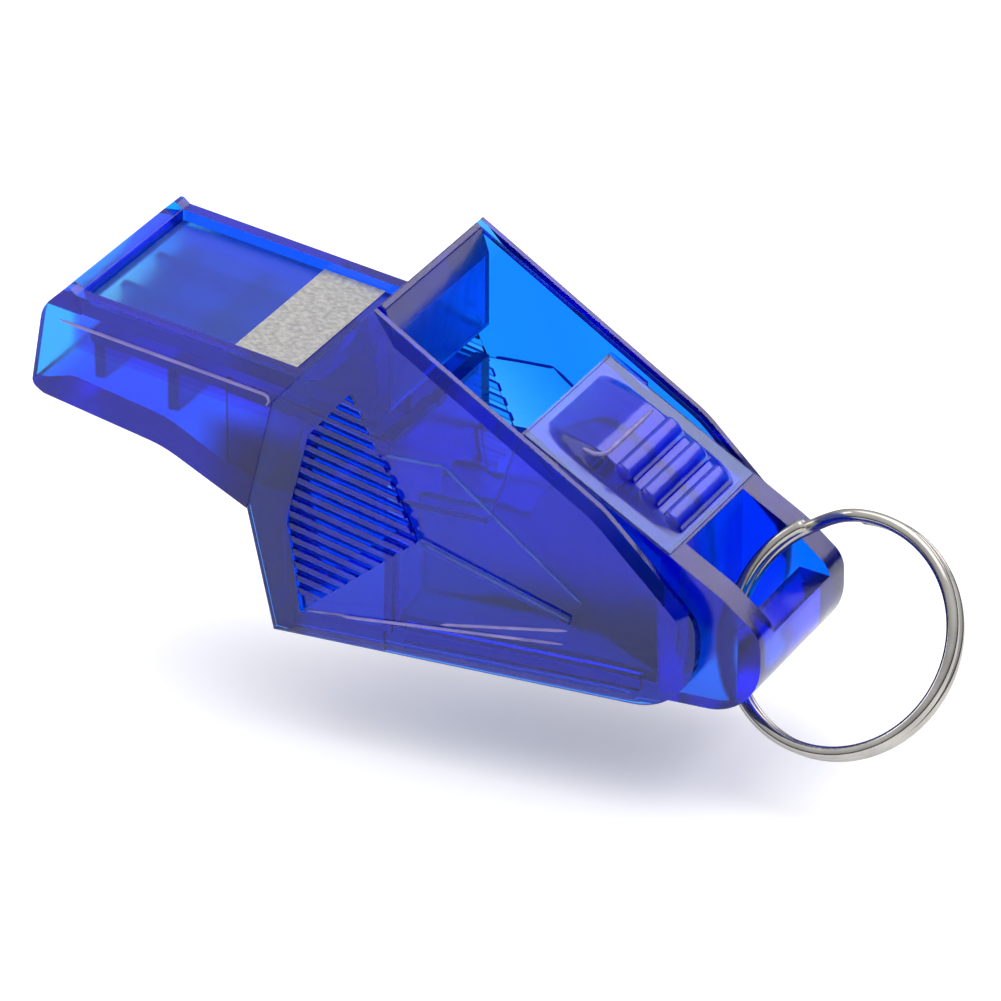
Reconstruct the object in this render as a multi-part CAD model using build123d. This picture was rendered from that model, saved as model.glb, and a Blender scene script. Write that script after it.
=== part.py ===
from build123d import *
import os
from math import radians, sin, tan

os.makedirs("parts", exist_ok=True)

# A pealess training whistle, in millimetres. +X runs from the mouth to the key ring,
# +Z is up, the flat base lies on z = 0 and y = 0 is the plane of symmetry.

# Side shells
FACE_Y = 10.4            # flat field of a side shell, from the plane of symmetry
EDGE_Y = 9.9             # its bevelled edge
SHELL_INNER_Y = 8.8
FIT = 0.05               # gap left at each welded seam
FRONT_BEVEL = 3.2        # width of the bevelled band along the front
RIM_BEVEL = 1.0          # width of the bevel along the fin, tail and base
BASE_FRONT = (-0.7, 0.0)
THROAT = (-2.9, 10.0)
HOOD_FOOT = (-0.6, 19.6)
HOOD_TOP = (8.2, 29.1)
FIN_KNEE = (27.6, 16.0)
FIN_TAIL = (35.4, 8.1)
SHELL_END_X = 35.4
RIM_STEP_Y = 9.35        # the rim is stepped down on its inner side
RIM_STEP = 0.45

# Ribbed panel pressed into each side shell
PANEL_TOP = (6.4, 21.9)
PANEL_TIP = (8.7, 17.2)
PANEL_BOTTOM = (1.9, 2.3)
PANEL_FRONT = ((0.8, 10.1), (2.75, 17.7))
PANEL_DEPTH = 0.54
RIB_COUNT = 18
RIB_PITCH = 1.06
RIB_WIDTH = 0.5
RIB_SLOPE = -14.0        # degrees
RIB_FACE_Y = FACE_Y - 0.12

# Two sunk facets behind the panel, with a low rib along the valley between them
FACET_SHOULDER = (14.4, 17.3)
FACET_NOSE = (26.0, 8.0)
FACET_FOOT = (24.6, 4.2)
FACET_VALLEY = (11.8, 10.1)
VALLEY_DEPTH = 0.9
VALLEY_END = (25.0, 6.2)
VALLEY_END_DEPTH = 0.25
FOOT_STEP = 0.2          # sharp step along the foot of the lower facet
VALLEY_RIB_HALF = 0.4
VALLEY_RIB_HEIGHT = 0.2
VALLEY_RIB_ROOT = 0.6    # how far the rib runs into the panel, so that the two join

# Core moulding
CORE_HALF = 8.2          # outer face of the chamber walls
CORE_WALL = 1.2
THROAT_HALF = 8.7
FRONT_SKIN = 1.2         # thickness of the leaning wall under the mouthpiece
BRIDGE_EDGE = (19.85, 20.2)
RAIL_FALL = 0.622        # fall of the bridge rails per millimetre of length
CORE_END_X = 40.15
CORE_END_RADIUS = 4.4
WELL_SILL_Z = 12.4       # top of the chamber walls under the hood
WELL_WALL_X = 8.1        # front face of the wall between mouthpiece and well
WELL_WALL = 1.2
SLOT_HALF = 5.45
SLOT_X = (32.6, 37.5)
BAR_TOP = 6.3            # top of the cross bar that carries the ring

# Mouthpiece
MOUTH_HALF = EDGE_Y
MOUTH_WALL = 1.3
MOUTH_FALL = 0.165       # fall of the mouthpiece towards the hood per millimetre
MOUTH_TOP_AT_0 = 22.55   # height of its rims at x = 0
LIP_X = -17.6            # where the lip ends and the lid begins
LIP_CREST = (-18.3, 26.1)
LIP_BUMP_Y = 8.55        # the crest is cut down between the bumps at its two ends
LIP_CUT_Z = 25.4
MOUTH_X = -21.7
UNDER_LIP = (-20.7, 16.5)
UNDER_BEND = (-10.2, 13.95)
TUBE_FLOOR = 2.2         # thickness of the mouth tube's floor
LID_RECESS = 0.8
LID_THICK = 1.2
WINDWAY_HEIGHT = 1.3
WINDWAY_FLOOR = 1.1
WINDWAY_WALLS_Y = (-3.0, 3.0)
WINDWAY_START = -17.2
CROSS_RIBS_X = (-16.4, -10.0)

# Bridge pad
PAD_HALF = 5.9
BAR_X = (27.16, 29.2, 31.3)
BAR_RADIUS = 0.75

# Split ring
RING_OUTER = 9.85
RING_INNER = 8.8
RING_DEPTH = 2.0
RING_CENTRE = (43.8, -0.6, 4.6)
RING_LEAN = -33.4        # degrees about X
RING_YAW = -4.6          # degrees about Z


def outline(*corners):
    """Closed face in local axes; a third number in a corner rounds it by that radius."""
    corners = [tuple(corner) + (0,) * (3 - len(corner)) for corner in corners]
    before = corners[-1:] + corners[:-1]
    after = corners[1:] + corners[:1]
    edges = []
    ends = []
    for back, here, ahead in zip(before, corners, after):
        spot = Vector(here[0], here[1])
        to_back = (Vector(back[0], back[1]) - spot).normalized()
        to_ahead = (Vector(ahead[0], ahead[1]) - spot).normalized()
        radius = here[2]
        start = stop = spot
        if radius:
            half_angle = radians(to_back.get_angle(to_ahead) / 2)
            reach = radius / tan(half_angle)
            start = spot + to_back * reach
            stop = spot + to_ahead * reach
            bulge = radius / sin(half_angle) - radius
            middle = spot + (to_back + to_ahead).normalized() * bulge
            edges.append(ThreePointArc(start, middle, stop))
        ends.append((start, stop))
    for (_, leave), (arrive, _) in zip(ends, ends[1:] + ends[:1]):
        edges.append(Line(leave, arrive))
    return make_face(edges)


def slab(face, y_low, y_high):
    """Extrude a face of (x, z) corners between two planes of constant y."""
    return extrude(Plane.XZ.offset(-y_high) * face, amount=y_high - y_low)


def inset(corners, distances):
    """Move each side of a polygon inwards; side i runs from corner i to corner i + 1."""
    count = len(corners)
    sides = []
    for i in range(count):
        start = Vector(*corners[i][:2])
        way = (Vector(*corners[(i + 1) % count][:2]) - start).normalized()
        inward = Vector(way.Y, -way.X)
        sides.append((start + inward * distances[i], way))
    moved = []
    for i in range(count):
        (p, a), (q, b) = sides[i - 1], sides[i]
        along = ((q.X - p.X) * b.Y - (q.Y - p.Y) * b.X) / (a.X * b.Y - a.Y * b.X)
        spot = p + a * along
        moved.append((spot.X, spot.Y) + tuple(corners[i][2:]))
    return moved


def rim_height(x):
    """Height of the mouthpiece rims."""
    return MOUTH_TOP_AT_0 - MOUTH_FALL * x


def rail_height(x):
    """Height of the bridge rails."""
    return BRIDGE_EDGE[1] - RAIL_FALL * (x - BRIDGE_EDGE[0])


SHELL_CORNERS = [BASE_FRONT, THROAT, HOOD_FOOT, HOOD_TOP, FIN_KNEE + (10,), FIN_TAIL + (3.4,),
                 (SHELL_END_X, 0.0, 5.2)]
SHELL_BEVELS = [FRONT_BEVEL, FRONT_BEVEL, FRONT_BEVEL] + [RIM_BEVEL] * 4


def side_shell():
    """Fin-shaped cover for the +Y side: bevelled plate, two sunk facets and ribbed panel."""
    step = inset(SHELL_CORNERS, [0, 0, 0, RIM_STEP, RIM_STEP, 0, 0])
    plate = slab(outline(*step), SHELL_INNER_Y, RIM_STEP_Y)
    plate += slab(outline(*SHELL_CORNERS), RIM_STEP_Y, EDGE_Y)
    field = inset(SHELL_CORNERS, SHELL_BEVELS)
    crown = loft([Plane.XZ.offset(-EDGE_Y) * outline(*SHELL_CORNERS),
                  Plane.XZ.offset(-FACE_Y) * outline(*field)], ruled=True)
    shell = plate + crown
    shell -= facets()
    panel_face = outline(PANEL_TOP, PANEL_TIP, FACET_VALLEY, PANEL_BOTTOM, *PANEL_FRONT)
    shell -= slab(panel_face, FACE_Y - PANEL_DEPTH, FACE_Y + 0.1)
    shell += slab(panel_face, FACE_Y - VALLEY_DEPTH - 0.1, RIB_FACE_Y) & rib_bars()
    shell += weld_ledge()
    return shell


def above(*spots):
    """Everything outside the plane through three (x, z, depth) spots below a shell's face."""
    start, middle, end = (Vector(x, FACE_Y - depth, z) for x, z, depth in spots)
    normal = (middle - start).cross(end - start)
    if normal.Y < 0:
        normal = normal * -1
    return extrude(Plane(origin=start, z_dir=normal) * Rectangle(120, 120), amount=10)


def facets():
    """The sunk space behind the panel: two facets that meet in a valley, less its low rib."""
    deepest = FACE_Y - VALLEY_DEPTH - 0.3
    border = outline(PANEL_TIP, FACET_SHOULDER, FACET_NOSE, FACET_FOOT, PANEL_BOTTOM, FACET_VALLEY)
    space = slab(border, deepest, FACE_Y + 0.1)
    space &= above(FACET_SHOULDER + (0,), FACET_NOSE + (0,), FACET_VALLEY + (VALLEY_DEPTH,))
    space &= above(PANEL_BOTTOM + (FOOT_STEP,), FACET_VALLEY + (VALLEY_DEPTH,),
                   VALLEY_END + (VALLEY_END_DEPTH,))
    start, end = Vector(*FACET_VALLEY), Vector(*VALLEY_END)
    way = (end - start).normalized()
    side = Vector(-way.Y, way.X) * VALLEY_RIB_HALF
    root = start - way * VALLEY_RIB_ROOT
    corners = [root + side, end + side, end - side, root - side]
    rib = slab(outline(*[(corner.X, corner.Y) for corner in corners]), deepest, FACE_Y + 0.1)
    rib_depth = VALLEY_DEPTH - VALLEY_RIB_HEIGHT
    rib -= above(FACET_VALLEY + (rib_depth,), VALLEY_END + (VALLEY_END_DEPTH - VALLEY_RIB_HEIGHT,),
                 (start.X + side.X, start.Y + side.Y, rib_depth))
    return space - rib


def rib_bars():
    """Parallel bars across the panel, before they are trimmed to it."""
    length = 30.0
    middle_x = 5.0
    lowest_z = 3.2
    bars = []
    for i in range(RIB_COUNT):
        bar = Box(length, 2.0, RIB_WIDTH)
        spot = Location((middle_x, FACE_Y - 0.6, lowest_z + i * RIB_PITCH), (0, -RIB_SLOPE, 0))
        bars.append(spot * bar)
    return Part() + bars


def weld_ledge():
    """Low ledge along the base of the inner face that meets the core wall."""
    ledge_height = 1.4
    return Pos(20.5, (SHELL_INNER_Y + CORE_HALF + FIT) / 2, 1.0 + ledge_height / 2) * Box(
        20.0, SHELL_INNER_Y - CORE_HALF - FIT, ledge_height)


def tube_floor(x):
    """Height of the mouth tube's floor between the lip and the bend."""
    fall = (UNDER_LIP[1] - UNDER_BEND[1]) / (UNDER_BEND[0] - UNDER_LIP[0])
    return UNDER_BEND[1] + fall * (UNDER_BEND[0] - x) + TUBE_FLOOR


def mouthpiece():
    """Tapering mouth tube with a rounded lip, open on top for the lid."""
    profile = outline((LIP_X, rim_height(LIP_X)), LIP_CREST + (0.4,), (-20.6, 24.0, 2.6),
                      (MOUTH_X, 17.2, 0.8), UNDER_LIP + (0.5,), UNDER_BEND + (10.0,),
                      THROAT, (2.0, 8.0), (2.0, rim_height(2.0)))
    body = slab(profile, -MOUTH_HALF, MOUTH_HALF)
    inner = MOUTH_HALF - MOUTH_WALL
    roof = LID_RECESS + LID_THICK
    mouth_sill = UNDER_LIP[1] + 1.1
    flare_end = -18.4
    bore = outline((MOUTH_X - 1, mouth_sill), (UNDER_LIP[0], mouth_sill),
                   (flare_end, tube_floor(flare_end), 2.0),
                   (UNDER_BEND[0], tube_floor(UNDER_BEND[0]), 10.0),
                   (THROAT[0] + 0.6, THROAT[1] + 1.6), (9.0, THROAT[1] + 1.1),
                   (9.0, rim_height(9.0) - roof), (MOUTH_X - 1, rim_height(MOUTH_X - 1) - roof))
    body -= slab(bore, -inner, inner)
    seat = outline((LIP_X, rim_height(LIP_X) - roof - 0.1), (LIP_X, 30.0), (9.0, 30.0),
                   (9.0, rim_height(9.0) - roof - 0.1))
    body -= slab(seat, -inner, inner)
    crest_cut = outline((LIP_X - 0.05, LIP_CUT_Z), (LIP_X - 0.05, 30.0), (-19.5, 30.0),
                        (-19.5, LIP_CUT_Z - 0.15))
    return body - slab(crest_cut, -LIP_BUMP_Y, LIP_BUMP_Y)


def throat():
    """Leaning front wall, the wall below the sound slot and the side walls joining them."""
    front = outline(BASE_FRONT, THROAT, (THROAT[0] + 1.5, THROAT[1] + 0.4),
                    (BASE_FRONT[0] + FRONT_SKIN, 0.0))
    walls = slab(front, -THROAT_HALF, THROAT_HALF)
    slot_sill = rim_height(WELL_WALL_X) - LID_RECESS - LID_THICK - WINDWAY_HEIGHT
    well_wall = outline((WELL_WALL_X, 1.4), (WELL_WALL_X, slot_sill),
                        (WELL_WALL_X + WELL_WALL, slot_sill), (WELL_WALL_X + WELL_WALL, 1.4))
    walls += slab(well_wall, -THROAT_HALF, THROAT_HALF)
    cheek = outline((BASE_FRONT[0] + 0.3, 0.0), (THROAT[0] + 0.3, THROAT[1] + 0.2), (-5.0, 12.0),
                    (-5.0, 20.5), (WELL_WALL_X + 0.5, slot_sill - 0.2), (WELL_WALL_X + 0.5, 0.0))
    inner = THROAT_HALF - 0.6
    overlap = MOUTH_HALF - MOUTH_WALL + 0.3
    walls += slab(cheek, -overlap, -inner) + slab(cheek, inner, overlap)
    return walls


def chamber_walls():
    """Two long walls with the bridge between them, ending in the lanyard loop."""
    front_x = BASE_FRONT[0] + 0.6
    tail = outline((front_x, 0.0), (front_x, WELL_SILL_Z),
                   (BRIDGE_EDGE[0] - 2.5, WELL_SILL_Z), BRIDGE_EDGE,
                   (36.9, rail_height(36.9), 4.0), (CORE_END_X, 6.8, 2.4),
                   (CORE_END_X, 0.0, CORE_END_RADIUS))
    inner = CORE_HALF - CORE_WALL
    walls = slab(tail, -CORE_HALF, -inner) + slab(tail, inner, CORE_HALF)
    thick = 1.3
    bridge = outline(BRIDGE_EDGE, (SLOT_X[0] + 0.5, rail_height(SLOT_X[0] + 0.5)),
                     (SLOT_X[0] + 0.5, rail_height(SLOT_X[0] + 0.5) - thick),
                     (BRIDGE_EDGE[0] + 4.5, rail_height(BRIDGE_EDGE[0] + 4.5) - thick))
    walls += slab(bridge, -CORE_HALF, CORE_HALF)
    lip = slab(outline(BRIDGE_EDGE, (BRIDGE_EDGE[0] + 3.2, rail_height(BRIDGE_EDGE[0] + 3.2)),
                       (BRIDGE_EDGE[0] + 3.2, rail_height(BRIDGE_EDGE[0] + 3.2) - 1.0)),
               -THROAT_HALF, THROAT_HALF)
    walls += lip
    loop = slab(tail, -CORE_HALF, CORE_HALF)
    loop &= Pos(40.0, 0, 10) * Box(2 * (40.0 - SLOT_X[0] + 1.2), 30, 40)
    walls += loop
    gap = SLOT_X[1] - SLOT_X[0]
    walls -= Pos(SLOT_X[0] + gap / 2, 0, 10) * Box(gap, 2 * SLOT_HALF, 40)
    saddle = outline((SLOT_X[1] - 0.5, BAR_TOP + 0.3), (SLOT_X[1] - 0.5, 20), (42.0, 20),
                     (42.0, BAR_TOP - 0.3))
    walls -= slab(saddle, -SLOT_HALF, SLOT_HALF)
    return walls


def core_body():
    """Mouthpiece, throat, chamber walls and lanyard loop in one moulding."""
    body = mouthpiece() + throat() + chamber_walls()
    shell_space = slab(outline(*SHELL_CORNERS), THROAT_HALF, MOUTH_HALF + 1)
    shell_space = Pos(-FIT, 0, 0) * shell_space
    return body - shell_space - mirror(shell_space, about=Plane.XZ)


def mouthpiece_lid():
    """Flat panel let into the mouthpiece, which also roofs the three windways."""
    end = WELL_WALL_X - FIT
    start = LIP_X + FIT
    top = LID_RECESS
    profile = outline((start, rim_height(start) - top), (end, rim_height(end) - top),
                      (end, rim_height(end) - top - LID_THICK),
                      (start, rim_height(start) - top - LID_THICK))
    half = MOUTH_HALF - MOUTH_WALL - FIT
    return slab(profile, -half, half)


def windway_block():
    """Floor of the three windways with its two long walls and two cross ribs."""
    start = WINDWAY_START
    end = WELL_WALL_X - FIT
    roof = LID_RECESS + LID_THICK + FIT
    top = roof + WINDWAY_HEIGHT
    half = THROAT_HALF - 0.85
    floor = outline((start, rim_height(start) - top), (end, rim_height(end) - top),
                    (end, rim_height(end) - top - WINDWAY_FLOOR),
                    (start, rim_height(start) - top - WINDWAY_FLOOR))
    block = slab(floor, -half, half)
    guide = outline((start, rim_height(start) - roof), (end, rim_height(end) - roof),
                    (end, rim_height(end) - top - 0.2), (start, rim_height(start) - top - 0.2))
    for y in WINDWAY_WALLS_Y:
        block += slab(guide, y - 0.45, y + 0.45)
    for x in CROSS_RIBS_X:
        rib_top = rim_height(x) - top - 0.5
        rib_foot = tube_floor(x - 0.5) + 0.2
        block += Pos(x, 0, (rib_top + rib_foot) / 2) * Box(1.0, 2 * half, rib_top - rib_foot)
    return block


def hood_front():
    """Sloping front of the hood and the wall above the sound slot, joined at the crest."""
    half = SHELL_INNER_Y - FIT
    slope = (HOOD_TOP[1] - HOOD_FOOT[1]) / (HOOD_TOP[0] - HOOD_FOOT[0])
    foot_x = 1.95
    foot_z = HOOD_FOOT[1] + slope * (foot_x - HOOD_FOOT[0])
    lid_top = rim_height(WELL_WALL_X) - LID_RECESS + FIT
    profile = outline((foot_x - 0.55, rim_height(foot_x) - LID_RECESS + 0.12), HOOD_TOP,
                      (HOOD_TOP[0] + 0.45, HOOD_TOP[1] - 0.3), (WELL_WALL_X + WELL_WALL, HOOD_TOP[1] - 2.4),
                      (WELL_WALL_X + WELL_WALL, lid_top),
                      (WELL_WALL_X, lid_top), (WELL_WALL_X, HOOD_TOP[1] - 3.0),
                      (foot_x + 1.25, foot_z - 0.5))
    foot_end = foot_x + 0.1
    wall_room = slab(outline((0.0, 20.0), (0.0, 24.0), (foot_end, 24.0), (foot_end, 20.0)),
                     MOUTH_HALF - MOUTH_WALL - FIT, half + 1)
    return slab(profile, -half, half) - wall_room - mirror(wall_room, about=Plane.XZ)


def bridge_pad():
    """Crowned thumb pad on the bridge with three raised grip bars."""
    start = BRIDGE_EDGE[0] + 1.9
    end = SLOT_X[0] - 0.35
    profile = outline((start, rail_height(start) + FIT), (24.2, 18.9, 3.0), (26.0, 17.6, 3.0),
                      (end, rail_height(end) + 0.35, 0.3), (end, rail_height(end) + FIT))
    pad = slab(profile, -PAD_HALF, PAD_HALF)
    for x in BAR_X:
        height = 17.6 + (rail_height(end) + 0.35 - 17.6) * (x - 26.0) / (end - 26.0)
        bar = Cylinder(BAR_RADIUS, 2 * (PAD_HALF - 1.1), rotation=(90, 0, 0))
        for side in (-1, 1):
            bar += Pos(0, side * (PAD_HALF - 1.1), 0) * Sphere(BAR_RADIUS)
        pad += Pos(x, 0, height - 0.25) * bar
    seat = outline((start - 1, rail_height(start - 1) + FIT), (start - 1, 30), (end, 30),
                   (end, rail_height(end) + FIT))
    return pad & slab(seat, -PAD_HALF, PAD_HALF)


def base_cover():
    """Flat plate that closes the chambers from below and carries the whistle."""
    half = CORE_HALF - CORE_WALL - FIT
    thick = 1.3
    start = BASE_FRONT[0] + FRONT_SKIN + FIT
    end = SLOT_X[0] - 1.2 - FIT
    return Pos((start + end) / 2, 0, thick / 2) * Box(end - start, 2 * half, thick)


def chamber_insert():
    """Two dividers on a thin floor, which split the space into three tuned chambers."""
    floor_z = 1.35
    start = WELL_WALL_X + WELL_WALL + FIT
    end = 31.2
    divider = outline((start, floor_z), (start, WELL_SILL_Z - 1.0), (18.5, WELL_SILL_Z - 1.0),
                      (22.2, 16.6, 1.0), (end - 1.0, 10.9), (end, floor_z))
    half = CORE_HALF - CORE_WALL - FIT
    insert = Pos((start + end) / 2, 0, floor_z + 0.5) * Box(end - start, 2 * half, 1.0)
    for y in (-2.6, 2.6):
        insert += slab(divider, y - 0.5, y + 0.5)
    return insert


def foil_label():
    """Thin foil sticker on the lid, against the foot of the hood."""
    start = -5.0
    end = 0.4
    thick = 0.1
    base = LID_RECESS - 0.02
    profile = outline((start, rim_height(start) - base), (start, rim_height(start) - base + thick),
                      (end, rim_height(end) - base + thick), (end, rim_height(end) - base))
    return slab(profile, -8.45, 8.45)


def split_ring():
    """Flat double coil with a groove between its turns, hung through the loop."""
    groove = 0.12
    radial = RING_OUTER - RING_INNER
    coil = Pos(RING_INNER + radial / 2, RING_DEPTH / 4) * RectangleRounded(
        radial, RING_DEPTH / 2 - groove / 2, 0.35)
    section = coil + mirror(coil, about=Plane.XZ)
    section += Pos(RING_INNER + radial / 2, 0) * Rectangle(radial - 2 * groove, 0.5)
    ring = revolve(section, Axis.Y)
    return Location(RING_CENTRE, (0, 0, RING_YAW)) * (Rot(RING_LEAN, 0, 0) * ring)


far_shell = side_shell()
parts = {
    "core_body": core_body(),
    "mouthpiece_lid": mouthpiece_lid(),
    "windway_block": windway_block(),
    "hood_front": hood_front(),
    "left_side_shell": far_shell,
    "right_side_shell": mirror(far_shell, about=Plane.XZ),
    "bridge_pad": bridge_pad(),
    "base_cover": base_cover(),
    "chamber_insert": chamber_insert(),
    "foil_label": foil_label(),
    "split_ring": split_ring(),
}
for name, part in parts.items():
    export_step(part, f"parts/{name}.step")
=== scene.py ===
"""Looks for a clear blue training whistle with a split ring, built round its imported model."""

import math

import bmesh
import bpy
from mathutils import Matrix, Vector
from mathutils.bvhtree import BVHTree


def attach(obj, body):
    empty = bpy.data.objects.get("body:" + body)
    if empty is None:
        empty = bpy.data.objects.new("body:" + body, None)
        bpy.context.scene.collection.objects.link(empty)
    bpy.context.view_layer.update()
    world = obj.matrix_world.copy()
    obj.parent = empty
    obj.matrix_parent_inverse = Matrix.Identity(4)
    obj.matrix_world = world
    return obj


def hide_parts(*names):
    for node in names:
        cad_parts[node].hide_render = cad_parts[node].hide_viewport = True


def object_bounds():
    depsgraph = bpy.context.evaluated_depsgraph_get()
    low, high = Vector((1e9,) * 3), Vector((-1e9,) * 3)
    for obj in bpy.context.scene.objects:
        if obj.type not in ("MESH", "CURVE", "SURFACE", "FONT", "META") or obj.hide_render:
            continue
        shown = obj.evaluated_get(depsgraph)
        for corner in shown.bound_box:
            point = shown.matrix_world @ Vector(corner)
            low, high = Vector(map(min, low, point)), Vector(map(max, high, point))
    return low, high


MM = 0.001

# The camera: a long lens from the right-hand front, above the whistle.
CAMERA_AIM = Vector((0.0138, 0.0011349, 0.0093106))
CAMERA_AZIMUTH = math.radians(25.0)
CAMERA_ELEVATION = math.radians(25.5)
CAMERA_DISTANCE = 0.706
CAMERA_LENS = 323.7
CAMERA_SENSOR = 36.0

# The floor: how much it shines by itself, which keeps the shadow on it faint, and how far below
# the lowest point at rest it lies, in metres, so that the ring clears it wherever it swings.
FLOOR_GLOW = 0.22
FLOOR_DROP = 0.0050
FLOOR_HALF = 1.6

# The sky's colours, from the horizon up.
SKY_HORIZON = (0.02, 0.02, 0.03)
SKY_LOW = (0.55, 0.55, 0.57)
SKY_TOP = (1.05, 1.05, 1.05)
SKY_STOPS = (0.16, 0.34, 0.75)

# The soft boxes: name, place and size in metres, power in watts, and colour.
LAMPS = (
    ("top_box", (-0.05, -0.05, 0.90), (0.80, 0.80), 3.4, (1.0, 1.0, 1.0)),
    ("far_box", (0.19, 0.50, 0.34), (0.26, 0.24), 0.5, (1.0, 0.90, 0.98)),
    ("left_box", (-0.48, -0.20, 0.30), (0.12, 0.30), 0.35, (1.0, 1.0, 1.0)),
)
LAMP_TARGET = (0.012, 0.0, 0.012)

# How often light may bounce, and how many clear walls it may cross.
LIGHT_BOUNCES = 24
CLEAR_BOUNCES = 16

# The split ring, in mm: its centre, its lean out of the upright, its turn, and its wire.
RING_CENTRE = Vector((43.8, -0.6, 4.6))
RING_LEAN = math.radians(-33.4)
RING_YAW = math.radians(-4.6)
RING_OUTER = 9.85
RING_INNER = 8.8
RING_DEPTH = 2.0
RING_END_ANGLE = math.radians(112)
RING_CROSSING = math.radians(15)
RING_GAP = 0.20
RING_STATIONS = 360
RING_CORNER = 0.44
RING_CORNER_STEPS = 6
RING_END_SHARE = 0.9
RING_END_TAPER = 0.22
RING_END_LENGTH = 0.35

# The bridge and the thumb pad on it, in mm.
BRIDGE_EDGE = (19.85, 20.2)
RAIL_FALL = 0.622
PAD_X = (20.6, 25.3, 32.3)
SKIN_X = (20.05, 32.45)
SKIN_HALF = 8.05
PAD_HALF = 6.5
PAD_SIDE = 1.9
PAD_CREST = 1.4
PAD_SOFT = 0.15
PAD_SEAT = 0.05
PAD_SKIN = 0.03
PAD_GRID = (190, 140)
PAD_TAPER = 0.25
PAD_STRAIGHT = 4.0
CREST_REACH = 0.9
BAR_X = (27.16, 29.2, 31.2)
BAR_HALF = 4.7
BAR_RADIUS = 0.62
BAR_HEIGHT = 0.56
BAR_SQUASH = 0.85
CREST_LINE = ((25.4, 4.3), (25.4, -4.3), (25.2, -4.9), (24.7, -5.2), (23.6, -5.3))

# Mouldings, with lengths in mm and angles in radians.
WELD_DISTANCE = 0.002
FLAT_ANGLE = math.radians(0.6)
RIM_FALL = 0.165
RIM_AT_0 = 22.55
EDGE_ANGLE = math.radians(24)
RIDGE_ANGLE = math.radians(5)
SEAM_DROP = 2.55
SEAM_X = (-19.0, -1.3)
SEAM_STEPS = 24
SEAM_HOOK = ((0.35, -0.15), (0.45, -0.55), (0.20, -0.95))
SEAM_RADIUS = 0.15
MOUTH_SIDE_Y = 9.93
RIDGE_RADIUS = 0.13
RIDGE_STEPS = 30
CREST_RADIUS = 0.20
CREST_STEPS = 8
BEAD_SIDES = 12
BEAD_ENDS = (0.35, 0.8, 1.0)

# The plastic: how strongly it bends light, and its gloss on plain and on softer faces.
PLASTIC_IOR = 1.46
PLAIN_LEVEL = 0.5
SOFT_LEVEL = 0.12

# The fine ridges round each side's facets, as (x, z) in mm.
FOOT_RIDGES = (((2.4, 2.35), (24.5, 4.15)), ((14.0, 3.6), (24.8, 5.3)))
VALLEY_RIDGE = ((12.2, 10.0), (25.0, 6.25))
UPPER_RIDGES = (((9.4, 17.25), (14.4, 17.3)), ((14.4, 17.3), (26.0, 8.0)))

# The painted shade down the mouthpiece and where the tube turns down into the body: deeper tints laid on
# by place, with their edges in metres.
MOUTH_SHADE_TINT = (0.15, 0.18, 0.84)
MOUTH_SHADE_FOOT = (0.0178, 0.0182)
MOUTH_SHADE_BEHIND_LIP = (-0.0183, -0.0176)
MOUTH_SHADE_BEFORE_HOOD = (0.0035, 0.0015)
THROAT_SHADE_TINT = (0.06, 0.03, 0.26)
THROAT_SHADE_TOP = (0.0175, 0.0150)
THROAT_SHADE_START = (-0.0085, -0.0040)
THROAT_SHADE_END = (0.0020, 0.0005)


def link(name, mesh):
    """A new object for a mesh, in the scene."""
    made = bpy.data.objects.new(name, mesh)
    bpy.context.scene.collection.objects.link(made)
    return made


def aim(thing, target):
    """Turns a camera or lamp to face a point."""
    thing.rotation_euler = (Vector(target) - thing.location).to_track_quat("-Z", "Y").to_euler()


def add_camera():
    """The camera at the catalogue view's angle."""
    data = bpy.data.cameras.new("camera")
    data.lens = CAMERA_LENS
    data.sensor_width = CAMERA_SENSOR
    data.clip_end = 10.0
    camera = link("camera", data)
    flat = math.cos(CAMERA_ELEVATION)
    back = Vector(
        (
            math.sin(CAMERA_AZIMUTH) * flat,
            -math.cos(CAMERA_AZIMUTH) * flat,
            math.sin(CAMERA_ELEVATION),
        )
    )
    camera.location = CAMERA_AIM + back * CAMERA_DISTANCE
    aim(camera, CAMERA_AIM)
    bpy.context.scene.camera = camera


def add_lamp(name, place, size, power, colour):
    """A soft rectangular studio lamp that faces the whistle."""
    data = bpy.data.lights.new(name, "AREA")
    data.shape = "RECTANGLE"
    data.size, data.size_y = size
    data.energy = power
    data.color = colour
    lamp = link(name, data)
    lamp.location = Vector(place)
    aim(lamp, LAMP_TARGET)


def add_surroundings():
    """A pale sky over a dark horizon, which gives the ring its contrast."""
    world = bpy.data.worlds.new("surroundings")
    world.use_nodes = True
    tree = world.node_tree
    place = tree.nodes.new("ShaderNodeTexCoord")
    split = tree.nodes.new("ShaderNodeSeparateXYZ")
    ramp = tree.nodes.new("ShaderNodeValToRGB")
    stops = ramp.color_ramp.elements
    stops[0].position, stops[1].position = SKY_STOPS[0], SKY_STOPS[2]
    stops[0].color = (*SKY_HORIZON, 1.0)
    stops[1].color = (*SKY_TOP, 1.0)
    middle = stops.new(SKY_STOPS[1])
    middle.color = (*SKY_LOW, 1.0)
    tree.links.new(place.outputs["Generated"], split.inputs["Vector"])
    tree.links.new(split.outputs["Z"], ramp.inputs["Fac"])
    tree.links.new(ramp.outputs["Color"], tree.nodes["Background"].inputs["Color"])
    bpy.context.scene.world = world


def add_studio():
    """Pale surroundings, soft boxes and light paths deep enough for nested clear walls."""
    scene = bpy.context.scene
    scene.view_settings.view_transform = "Standard"
    scene.cycles.max_bounces = LIGHT_BOUNCES
    scene.cycles.transmission_bounces = LIGHT_BOUNCES
    scene.cycles.glossy_bounces = LIGHT_BOUNCES
    scene.cycles.transparent_max_bounces = CLEAR_BOUNCES
    add_surroundings()
    for lamp in LAMPS:
        add_lamp(*lamp)


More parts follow.
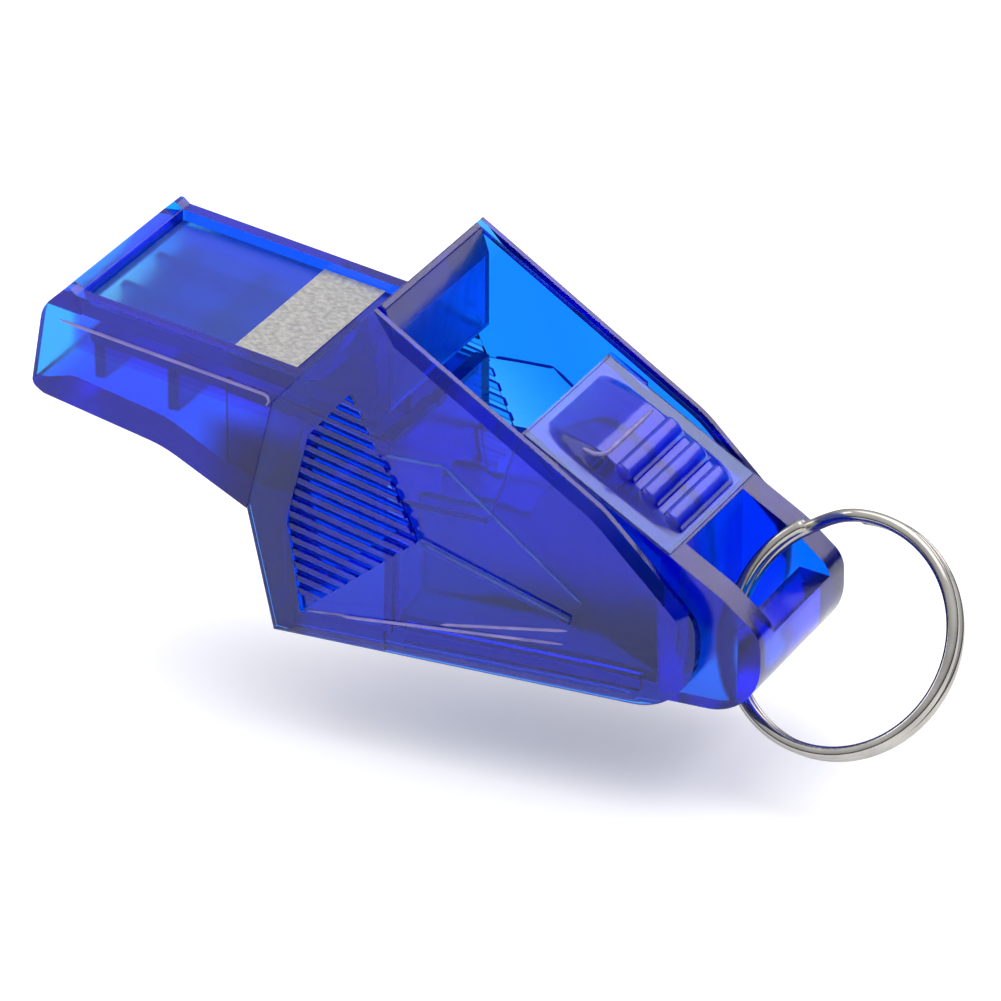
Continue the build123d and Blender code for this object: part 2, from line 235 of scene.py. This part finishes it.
class Shader:
    """A short way to write a node tree round one Principled shader."""

    def __init__(self, name):
        self.material = bpy.data.materials.new(name)
        self.material.use_nodes = True
        self.tree = self.material.node_tree
        self.main = self.tree.nodes["Principled BSDF"]
        self.place = self.add("ShaderNodeTexCoord").outputs["Object"]

    def add(self, kind, **settings):
        """A new node, with its settings."""
        node = self.tree.nodes.new(kind)
        for key, value in settings.items():
            setattr(node, key, value)
        return node

    def join(self, source, target):
        """A link from one socket to another."""
        self.tree.links.new(source, target)

    def noise(self, scale, detail=3.0, stretch=(1.0, 1.0, 1.0)):
        """Noise over the object, from 0 to 1, with its scale per metre."""
        mapping = self.add("ShaderNodeMapping")
        mapping.inputs["Scale"].default_value = stretch
        self.join(self.place, mapping.inputs["Vector"])
        node = self.add("ShaderNodeTexNoise")
        node.inputs["Scale"].default_value = scale
        node.inputs["Detail"].default_value = detail
        self.join(mapping.outputs["Vector"], node.inputs["Vector"])
        return node.outputs["Fac"]

    def ramp(self, value, low, high):
        """A value from 0 to 1, as a number from low to high."""
        node = self.add("ShaderNodeMapRange")
        node.inputs["To Min"].default_value = low
        node.inputs["To Max"].default_value = high
        self.join(value, node.inputs["Value"])
        return node.outputs["Result"]

    def colours(self, value, low, high, start=0.3, end=0.7):
        """A colour from low to high, as the value goes from start to end."""
        node = self.add("ShaderNodeValToRGB")
        first, last = node.color_ramp.elements
        first.position, last.position = start, end
        first.color, last.color = (*low, 1.0), (*high, 1.0)
        self.join(value, node.inputs["Fac"])
        return node.outputs["Color"]

    def band(self, along, start, end):
        """0 to 1 as the position measured along a direction goes from start to end, in metres."""
        dot = self.add("ShaderNodeVectorMath", operation="DOT_PRODUCT")
        dot.inputs[1].default_value = along
        self.join(self.place, dot.inputs[0])
        node = self.add("ShaderNodeMapRange", interpolation_type="SMOOTHSTEP")
        node.inputs["From Min"].default_value = start
        node.inputs["From Max"].default_value = end
        self.join(dot.outputs["Value"], node.inputs["Value"])
        return node.outputs["Result"]

    def product(self, *values):
        """Several numbers multiplied together."""
        result = values[0]
        for value in values[1:]:
            node = self.add("ShaderNodeMath", operation="MULTIPLY")
            self.join(result, node.inputs[0])
            self.join(value, node.inputs[1])
            result = node.outputs["Value"]
        return result

    def mixed(self, share, one, two):
        """Colour socket one, going over to the plain colour two by a share."""
        node = self.add("ShaderNodeMix", data_type="RGBA")
        self.join(share, node.inputs["Factor"])
        self.join(one, node.inputs["A"])
        node.inputs["B"].default_value = (*two, 1.0)
        return node.outputs["Result"]

    def bump(self, height, distance, strength=1.0):
        """Relief of that height in metres."""
        node = self.add("ShaderNodeBump")
        node.inputs["Strength"].default_value = strength
        node.inputs["Distance"].default_value = distance
        self.join(height, node.inputs["Height"])
        self.join(node.outputs["Normal"], self.main.inputs["Normal"])


def clear_plastic(name, pale, deep, density, tone, roughness, level=PLAIN_LEVEL, painted_shades=()):
    """Clear tinted plastic: flow marks in its tint, fine scuffs in its gloss, and a slight ripple."""
    s = Shader(name)
    s.main.inputs["Transmission Weight"].default_value = 1.0
    s.main.inputs["IOR"].default_value = PLASTIC_IOR
    s.main.inputs["Specular IOR Level"].default_value = level
    tint = s.colours(s.noise(90.0, 2.0), deep, pale)
    # Each painted shade mixes a deeper tint in by place.
    for share, colour in painted_shades:
        tint = s.mixed(share(s), tint, colour)
    s.join(tint, s.main.inputs["Base Color"])
    s.join(s.ramp(s.noise(420.0, 5.0, (1.0, 1.0, 2.5)), *roughness), s.main.inputs["Roughness"])
    s.bump(s.noise(160.0, 2.0), 0.00012)
    inside = s.add("ShaderNodeVolumeAbsorption")
    inside.inputs["Color"].default_value = (*tone, 1.0)
    inside.inputs["Density"].default_value = density
    s.join(inside.outputs["Volume"], s.tree.nodes["Material Output"].inputs["Volume"])
    return s.material


def mouth_painted_shade(s):
    """The share of painted shade down the mouthpiece: a deeper tint laid on where its rim, lid and
    windways overlap.
    """
    return s.product(
        s.band((RIM_FALL, 0.0, 1.0), *MOUTH_SHADE_FOOT),
        s.band((1.0, 0.0, 0.0), *MOUTH_SHADE_BEHIND_LIP),
        s.band((1.0, 0.0, 0.0), *MOUTH_SHADE_BEFORE_HOOD),
    )


def throat_painted_shade(s):
    """The share of the deepest painted shade, laid on where the tube turns down into the body and its
    wall is thickest.
    """
    return s.product(
        s.band((RIM_FALL, 0.0, 1.0), *THROAT_SHADE_TOP),
        s.band((1.0, 0.0, 0.0), *THROAT_SHADE_START),
        s.band((1.0, 0.0, 0.0), *THROAT_SHADE_END),
    )


def painted_ridge_highlight(name, clearness, low, high):
    """The same plastic along a fine ridge, coloured pale and half clear: painted highlight, the light
    line along the ridge.
    """
    s = Shader(name)
    s.main.inputs["Transmission Weight"].default_value = clearness
    s.main.inputs["IOR"].default_value = PLASTIC_IOR
    ridge_mottle = s.noise(900.0, 5.0, (0.4, 1.0, 1.0))
    s.join(s.colours(ridge_mottle, low, high), s.main.inputs["Base Color"])
    s.join(s.ramp(ridge_mottle, 0.22, 0.40), s.main.inputs["Roughness"])
    s.bump(ridge_mottle, 0.00002)
    return s.material


def foil():
    """Brushed foil, rubbed and dulled in patches."""
    s = Shader("foil")
    s.main.inputs["Metallic"].default_value = 0.75
    grain = s.noise(2600.0, 4.0, (1.0, 0.25, 1.0))
    rubbed = s.colours(s.noise(2400.0, 8.0), (0.34, 0.34, 0.34), (0.58, 0.57, 0.55))
    s.join(rubbed, s.main.inputs["Base Color"])
    s.join(s.ramp(grain, 0.38, 0.62), s.main.inputs["Roughness"])
    s.bump(grain, 0.00002)
    return s.material


def plated_steel():
    """Bright nickel plate with faint drawing lines and rubbed patches."""
    s = Shader("plated_steel")
    s.main.inputs["Metallic"].default_value = 1.0
    rubbed = s.colours(s.noise(260.0, 3.0), (0.33, 0.32, 0.30), (0.50, 0.485, 0.45))
    s.join(rubbed, s.main.inputs["Base Color"])
    s.join(s.ramp(s.noise(700.0, 5.0), 0.08, 0.20), s.main.inputs["Roughness"])
    s.bump(s.noise(1400.0, 3.0), 0.00001)
    return s.material


def pale_floor():
    """A plain matt white surface with a trace of unevenness."""
    s = Shader("pale_floor")
    s.join(s.colours(s.noise(8.0), (0.94, 0.94, 0.94), (0.96, 0.96, 0.96)), s.main.inputs["Base Color"])
    s.main.inputs["Roughness"].default_value = 0.9
    s.main.inputs["Specular IOR Level"].default_value = 0.1
    s.main.inputs["Emission Color"].default_value = (1.0, 1.0, 1.0, 1.0)
    s.main.inputs["Emission Strength"].default_value = FLOOR_GLOW
    return s.material


def moulded(node, body, material, round_mm, ridge_mm=1000.0):
    """A moulding with the shape of its CAD node and rounded edges, which stands for that node."""
    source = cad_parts[node].data
    bm = bmesh.new()
    for vertex in source.vertices:
        bm.verts.new(vertex.co)
    bm.verts.ensure_lookup_table()
    for polygon in source.polygons:
        bm.faces.new([bm.verts[i] for i in polygon.vertices])
    bmesh.ops.remove_doubles(bm, verts=bm.verts, dist=WELD_DISTANCE * MM)
    bmesh.ops.dissolve_limit(
        bm, angle_limit=FLAT_ANGLE, verts=bm.verts, edges=bm.edges, delimit={"NORMAL"}
    )
    bmesh.ops.recalc_face_normals(bm, faces=bm.faces)
    weights = bm.edges.layers.float.new("bevel_weight_edge")
    for edge in bm.edges:
        angle = edge.calc_face_angle(0.0)
        long_ridge = angle > RIDGE_ANGLE and edge.calc_length() > ridge_mm * MM
        if angle > EDGE_ANGLE or long_ridge:
            edge[weights] = 1.0
    for face in bm.faces:
        face.smooth = True
    mesh = bpy.data.meshes.new(node + "_moulding")
    bm.to_mesh(mesh)
    bm.free()
    mesh.materials.append(material)
    made = link(node + "_moulding", mesh)
    bevel = made.modifiers.new("rounding", "BEVEL")
    bevel.width = round_mm * MM
    bevel.segments = 3
    bevel.limit_method = "WEIGHT"
    bevel.use_clamp_overlap = True
    bevel.harden_normals = True
    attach(made, body)
    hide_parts(node)
    return made


def rail_height(x):
    """Height of the bridge between the side walls."""
    return BRIDGE_EDGE[1] - RAIL_FALL * (x - BRIDGE_EDGE[0])


def smooth(value):
    """0 to 1, with no slope at either end."""
    value = min(1.0, max(0.0, value))
    return value * value * (3 - 2 * value)


def pad_lift(x, y):
    """How far the thumb pad stands above the bridge at a point, in mm."""
    front, crest, end = PAD_X
    share = (x - front) / (crest - front) if x < crest else (end - x) / (end - crest)
    share = max(0.0, min(1.0, share))
    ridge = PAD_CREST * share - PAD_SOFT * max(0.0, 1.0 - abs(x - crest) / CREST_REACH) ** 2
    inside = PAD_HALF - PAD_TAPER * max(0.0, abs(x - (front + end) / 2) - PAD_STRAIGHT)
    lift = max(0.0, ridge) * smooth((inside - abs(y)) / PAD_SIDE)
    for bar_x in BAR_X:
        past_end = max(0.0, abs(y) - BAR_HALF)
        away = math.hypot((x - bar_x) * BAR_SQUASH, past_end)
        if away < BAR_RADIUS:
            lift += BAR_HEIGHT * math.sqrt(1.0 - (away / BAR_RADIUS) ** 2)
    return lift


def outer_edge(sheet):
    """The points round the edge of a rectangular sheet, in order."""
    last = len(sheet[0]) - 1
    near = [row[0] for row in sheet]
    end = [sheet[-1][j] for j in range(1, last + 1)]
    far = [row[last] for row in sheet[-2::-1]]
    start = [sheet[0][j] for j in range(last - 1, 0, -1)]
    return near + end + far + start


def thumb_pad(material):
    """The thumb pad as one moulded skin: a flat shelf, a soft crest, a slope and three raised bars."""
    columns, rows = PAD_GRID
    front, end = SKIN_X
    bm = bmesh.new()
    top, under = [], []
    for i in range(columns + 1):
        x = front + (end - front) * i / columns
        across = [SKIN_HALF * (2 * j / rows - 1) for j in range(rows + 1)]
        base = rail_height(x) + PAD_SEAT
        top.append([bm.verts.new(Vector((x, y, base + PAD_SKIN + pad_lift(x, y))) * MM) for y in across])
        under.append([bm.verts.new(Vector((x, y, base)) * MM) for y in across])
    for i in range(columns):
        for j in range(rows):
            for sheet, order in ((top, 1), (under, -1)):
                corners = (sheet[i][j], sheet[i + 1][j], sheet[i + 1][j + 1], sheet[i][j + 1])
                bm.faces.new(corners[::order])
    rim_top, rim_under = outer_edge(top), outer_edge(under)
    for i in range(len(rim_top)):
        j = (i + 1) % len(rim_top)
        bm.faces.new((rim_under[i], rim_under[j], rim_top[j], rim_top[i]))
    bmesh.ops.recalc_face_normals(bm, faces=bm.faces)
    for face in bm.faces:
        face.smooth = True
    mesh = bpy.data.meshes.new("thumb_pad")
    bm.to_mesh(mesh)
    bm.free()
    mesh.materials.append(material)
    made = link("thumb_pad", mesh)
    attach(made, "whistle")
    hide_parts("bridge_pad")


def bead(name, path, out, radius, material):
    """A fine raised ridge along a path in mm, rounded and finer at its two ends."""
    bm = bmesh.new()
    loops = []
    turn = [2 * math.pi * k / BEAD_SIDES for k in range(BEAD_SIDES)]
    for i, spot in enumerate(path):
        ahead = (path[min(i + 1, len(path) - 1)] - path[max(i - 1, 0)]).normalized()
        up = ahead.cross(out).normalized()
        near_end = min(i, len(path) - 1 - i)
        here = radius * BEAD_ENDS[min(near_end, 2)]
        loops.append(
            [bm.verts.new((spot + out * here * math.cos(t) + up * here * math.sin(t)) * MM) for t in turn]
        )
    for one, two in zip(loops, loops[1:]):
        for i in range(BEAD_SIDES):
            j = (i + 1) % BEAD_SIDES
            bm.faces.new((one[i], one[j], two[j], two[i])).smooth = True
    bm.faces.new(loops[0][::-1])
    bm.faces.new(loops[-1])
    bmesh.ops.recalc_face_normals(bm, faces=bm.faces)
    mesh = bpy.data.meshes.new(name)
    bm.to_mesh(mesh)
    bm.free()
    mesh.materials.append(material)
    made = link(name, mesh)
    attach(made, "whistle")


def seam_bead(name, side, material):
    """The fine raised seam along one side of the mouthpiece, with its hook at the foot of the hood."""
    start, end = SEAM_X
    spots = [Vector((x, side * MOUTH_SIDE_Y, RIM_AT_0 - RIM_FALL * x - SEAM_DROP)) for x in (start, end)]
    path = [spots[0].lerp(spots[1], i / SEAM_STEPS) for i in range(SEAM_STEPS + 1)]
    path += [spots[1] + Vector((along, 0.0, down)) for along, down in SEAM_HOOK]
    bead(name, path, Vector((0.0, 1.0, 0.0)), SEAM_RADIUS, material)


def shell_ridge(name, node, side, ends, material):
    """A fine ridge along a straight line on the face of one side shell."""
    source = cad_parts[node].data
    tree = BVHTree.FromPolygons([v.co for v in source.vertices], [p.vertices for p in source.polygons])
    inward = Vector((0.0, -side, 0.0))
    path = []
    for i in range(RIDGE_STEPS + 1):
        x, z = Vector(ends[0]).lerp(Vector(ends[1]), i / RIDGE_STEPS)
        hit = tree.ray_cast(Vector((x, side * 20.0, z)) * MM, inward)[0]
        path.append(hit / MM)
    bead(name, path, Vector((0.0, 1.0, 0.0)), RIDGE_RADIUS, material)


def crest_bead(material):
    """The fine raised line along the thumb pad's crest, which curls forward at its right-hand end."""
    path = []
    for one, two in zip(CREST_LINE, CREST_LINE[1:]):
        for i in range(CREST_STEPS):
            x, y = Vector(one).lerp(Vector(two), i / CREST_STEPS)
            path.append(Vector((x, y, rail_height(x) + PAD_SEAT + PAD_SKIN + pad_lift(x, y))))
    bead("pad_crest_bead", path, Vector((0.0, 0.0, 1.0)), CREST_RADIUS, material)


def split_ring(material):
    """A split ring: one wire in two turns side by side, crossing over beside its two cut ends."""
    turn = Matrix.Rotation(RING_YAW, 3, "Z") @ Matrix.Rotation(RING_LEAN, 3, "X")
    across, axis, up = turn @ Vector((1, 0, 0)), turn @ Vector((0, 1, 0)), turn @ Vector((0, 0, 1))
    wire_depth = (RING_DEPTH - RING_GAP) / 2
    wire_width = RING_OUTER - RING_INNER
    middle = (RING_OUTER + RING_INNER) / 2
    layer = (RING_DEPTH - wire_depth) / 2
    start = RING_CROSSING * RING_END_SHARE
    stop = 4 * math.pi - start
    outline = []
    for quarter in range(4):
        side_u = (1, -1, -1, 1)[quarter]
        side_v = (1, 1, -1, -1)[quarter]
        for step in range(RING_CORNER_STEPS + 1):
            bend = math.radians(90 * (quarter + step / RING_CORNER_STEPS))
            outline.append(
                (
                    side_u * (wire_width / 2 - RING_CORNER) + RING_CORNER * math.cos(bend),
                    side_v * (wire_depth / 2 - RING_CORNER) + RING_CORNER * math.sin(bend),
                )
            )
    bm = bmesh.new()
    loops = []
    for station in range(RING_STATIONS + 1):
        along = start + (stop - start) * station / RING_STATIONS
        share = min(1.0, max(0.0, (along - 2 * math.pi + RING_CROSSING) / (2 * RING_CROSSING)))
        shift = layer * (2 * share * share * (3 - 2 * share) - 1)
        angle = along + RING_END_ANGLE
        outward = across * math.cos(angle) + up * math.sin(angle)
        from_end = min(along - start, stop - along) * middle
        taper = 1.0 - RING_END_TAPER * max(0.0, 1.0 - from_end / RING_END_LENGTH)
        centre = RING_CENTRE + outward * middle + axis * shift
        loops.append(
            [bm.verts.new((centre + outward * u * taper + axis * v * taper) * MM) for u, v in outline]
        )
    for one, two in zip(loops, loops[1:]):
        for i in range(len(one)):
            j = (i + 1) % len(one)
            bm.faces.new((one[i], one[j], two[j], two[i])).smooth = True
    bm.faces.new(loops[0][::-1])
    bm.faces.new(loops[-1])
    bmesh.ops.recalc_face_normals(bm, faces=bm.faces)
    mesh = bpy.data.meshes.new("split_ring_coil")
    bm.to_mesh(mesh)
    bm.free()
    mesh.materials.append(material)
    made = link("split_ring_coil", mesh)
    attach(made, "ring")
    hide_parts("split_ring")


def add_floor(low, material):
    """A wide pale floor under the lowest point that the ring can reach."""
    bm = bmesh.new()
    bmesh.ops.create_grid(bm, x_segments=8, y_segments=8, size=FLOOR_HALF)
    mesh = bpy.data.meshes.new("floor")
    bm.to_mesh(mesh)
    bm.free()
    mesh.materials.append(material)
    floor = link("floor", mesh)
    floor.location = (0.0, 0.0, low - FLOOR_DROP)


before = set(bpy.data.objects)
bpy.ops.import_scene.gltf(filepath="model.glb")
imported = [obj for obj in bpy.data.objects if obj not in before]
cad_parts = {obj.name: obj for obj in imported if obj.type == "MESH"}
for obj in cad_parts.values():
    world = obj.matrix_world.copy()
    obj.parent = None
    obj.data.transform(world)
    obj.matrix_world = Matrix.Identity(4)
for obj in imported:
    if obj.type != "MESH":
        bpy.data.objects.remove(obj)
cad_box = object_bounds()
add_camera()
add_studio()

CORE_TONE = (0.02, 0.74, 0.980)
CORE_PALE = (0.32, 0.76, 1.0)
CORE_DEEP = (0.26, 0.68, 1.0)
# Painted shade on the core: deeper tints down the mouthpiece and where the tube turns down into the body.
mouth_painted_shades = ((mouth_painted_shade, MOUTH_SHADE_TINT), (throat_painted_shade, THROAT_SHADE_TINT))
clear_core = clear_plastic(
    "clear_core", CORE_PALE, CORE_DEEP, 2400.0, CORE_TONE, (0.12, 0.22), painted_shades=mouth_painted_shades
)
hood_plastic = clear_plastic(
    "hood_plastic", CORE_PALE, CORE_DEEP, 2400.0, CORE_TONE, (0.12, 0.22), SOFT_LEVEL
)
clear_shell = clear_plastic(
    "clear_shell", (0.32, 0.62, 0.97), (0.26, 0.54, 0.95), 2400.0, (0.08, 0.74, 0.980), (0.03, 0.09)
)
pad_plastic = clear_plastic(
    "pad_plastic", (0.17, 0.44, 0.88), (0.13, 0.38, 0.82), 2400.0, CORE_TONE, (0.10, 0.18), SOFT_LEVEL
)
satin_lid = clear_plastic(
    "satin_lid", (0.56, 0.84, 1.0), (0.47, 0.77, 1.0), 1100.0, (0.05, 0.76, 0.985), (0.30, 0.42)
)
frosted = clear_plastic(
    "frosted", (0.30, 0.62, 1.0), (0.24, 0.54, 1.0), 1500.0, (0.05, 0.72, 0.980), (0.34, 0.46)
)
inner = clear_plastic(
    "inner_plastic", (0.55, 0.80, 1.0), (0.48, 0.72, 1.0), 500.0, (0.05, 0.72, 0.980), (0.34, 0.46)
)
for node, material, rounding in (
    ("core_body", clear_core, 0.30),
    ("mouthpiece_lid", satin_lid, 0.15),
    ("windway_block", frosted, 0.10),
    ("hood_front", hood_plastic, 0.16),
    ("base_cover", inner, 0.15),
    ("chamber_insert", inner, 0.12),
):
    moulded(node, "whistle", material, rounding)
# The pale ridge colour is painted highlight along the seams, the foot ridges and the pad's crest.
ridge_highlight = painted_ridge_highlight("painted_ridge_highlight", 0.35, (0.20, 0.17, 0.55), (0.42, 0.37, 0.78))
# A fainter painted highlight along the valley and upper ridges.
faint = painted_ridge_highlight("faint_ridge_highlight", 0.55, (0.04, 0.10, 0.55), (0.10, 0.22, 0.80))
for word, side in (("right", -1), ("left", 1)):
    shell = word + "_side_shell"
    moulded(shell, "whistle", clear_shell, 0.16, 3.0)
    seam_bead("seam_bead_" + word, side, ridge_highlight)
    for i, ends in enumerate(FOOT_RIDGES):
        shell_ridge(f"foot_ridge_{word}_{i}", shell, side, ends, ridge_highlight)
    shell_ridge("valley_ridge_" + word, shell, side, VALLEY_RIDGE, faint)
    for i, ends in enumerate(UPPER_RIDGES):
        shell_ridge(f"upper_ridge_{word}_{i}", shell, side, ends, faint)
moulded("foil_label", "whistle", foil(), 0.03)
thumb_pad(pad_plastic)
crest_bead(ridge_highlight)
split_ring(plated_steel())
add_floor(cad_box[0].z, pale_floor())
